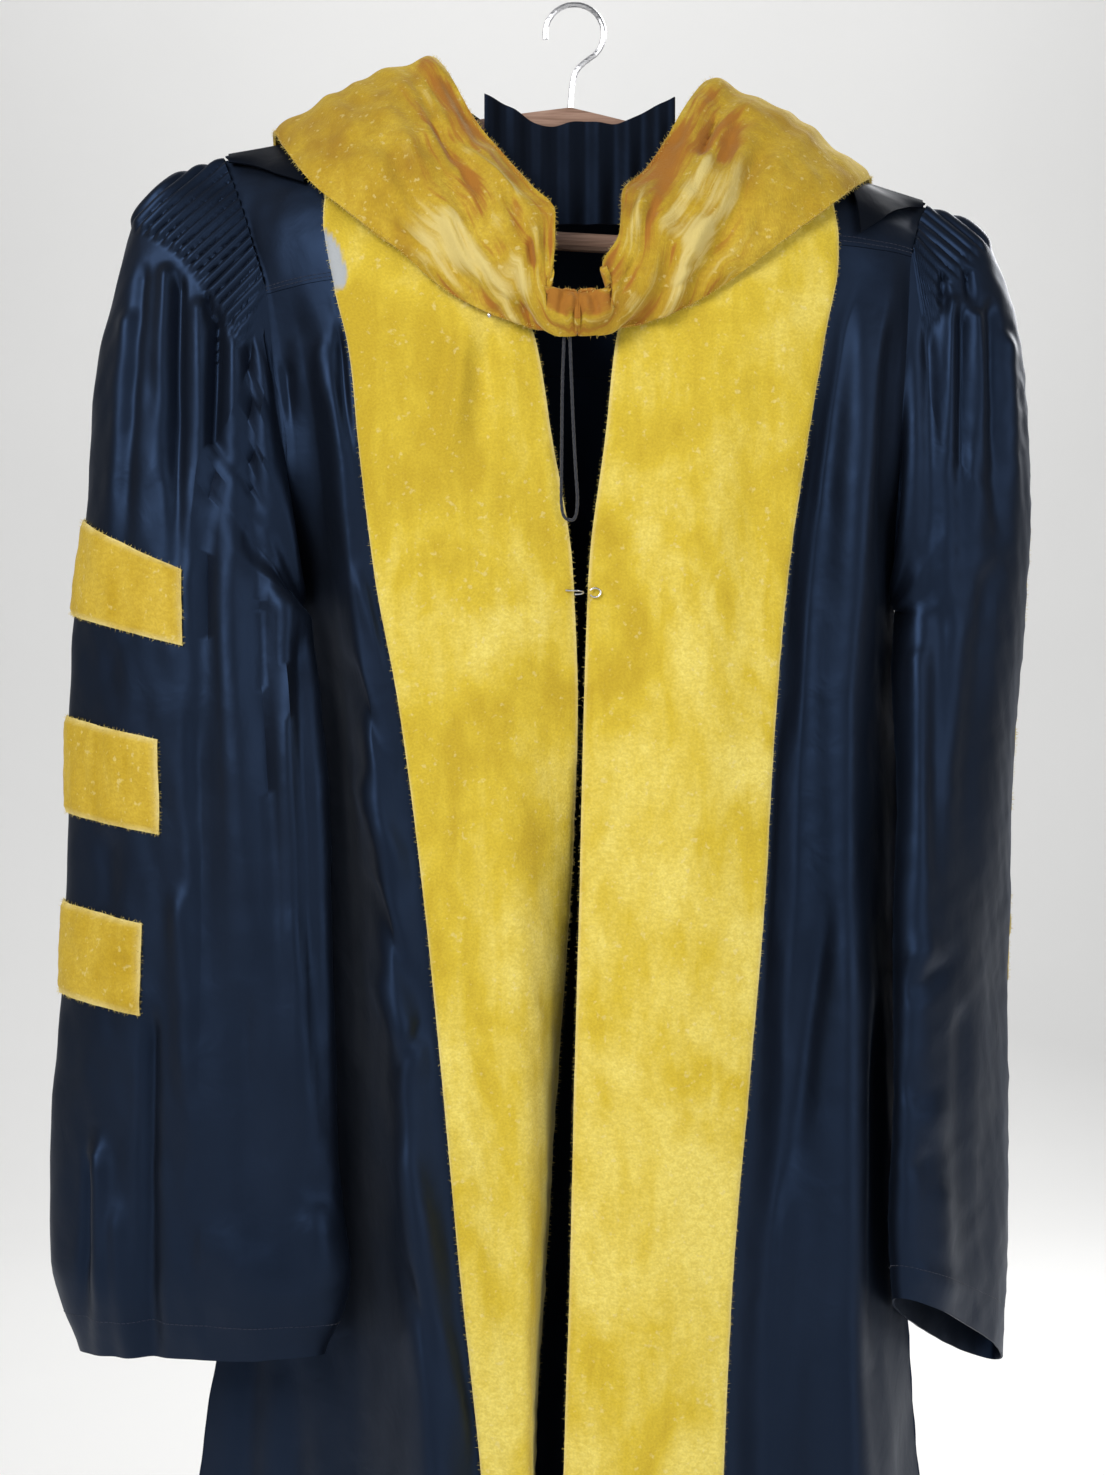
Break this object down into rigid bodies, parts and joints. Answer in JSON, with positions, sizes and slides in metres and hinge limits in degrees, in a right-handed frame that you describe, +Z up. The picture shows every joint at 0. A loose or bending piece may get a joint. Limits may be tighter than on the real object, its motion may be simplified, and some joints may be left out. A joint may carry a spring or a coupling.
{
  "type": "graduation gown",
  "caption": "Doctoral graduation gown with bell sleeves, velvet front facings, sleeve bars and a velvet-edged hood, hung on a wooden hanger.",
  "frame": {"origin": "the inside of the hanger hook's crook, where it rests on its rail", "axes": "+X is the viewer's right as the gown is seen from the front, +Y runs from the front to the back, +Z is up"},
  "size_m": [0.6734, 0.2622, 1.3547],
  "materials": {
    "navy_satin": "navy satin with a soft sheen",
    "gold_velvet": "gold velvet with a short pile",
    "black_satin": "black satin, nearly matt",
    "dark_cord": "dark grey woven cord",
    "pale_wood": "pale pinkish wood, lacquered",
    "bright_steel": "bright plated steel wire"
  },
  "bodies": {
    "root": {"yoke_left": "navy_satin", "yoke_right": "navy_satin", "front_left": "navy_satin", "front_right": "navy_satin", "yoke_back": "navy_satin", "back": "navy_satin", "sleeve_left": "navy_satin", "sleeve_right": "navy_satin", "facing_left": "gold_velvet", "facing_right": "gold_velvet", "bar_left_1": "gold_velvet", "bar_left_2": "gold_velvet", "bar_left_3": "gold_velvet", "bar_right_1": "gold_velvet", "bar_right_2": "gold_velvet", "bar_right_3": "gold_velvet", "hood_band_left": "gold_velvet", "hood_band_right": "gold_velvet", "hood_shell": "black_satin", "hood_shoulder_left": "black_satin", "hood_shoulder_right": "black_satin", "hood_neck": "black_satin", "hood_loop": "dark_cord", "hanger_arms": "pale_wood", "hanger_bar": "pale_wood", "hanger_hook": "bright_steel", "closure_hook": "bright_steel", "closure_eye": "bright_steel", "pin_head": "bright_steel"}
  },
  "joints": []
}
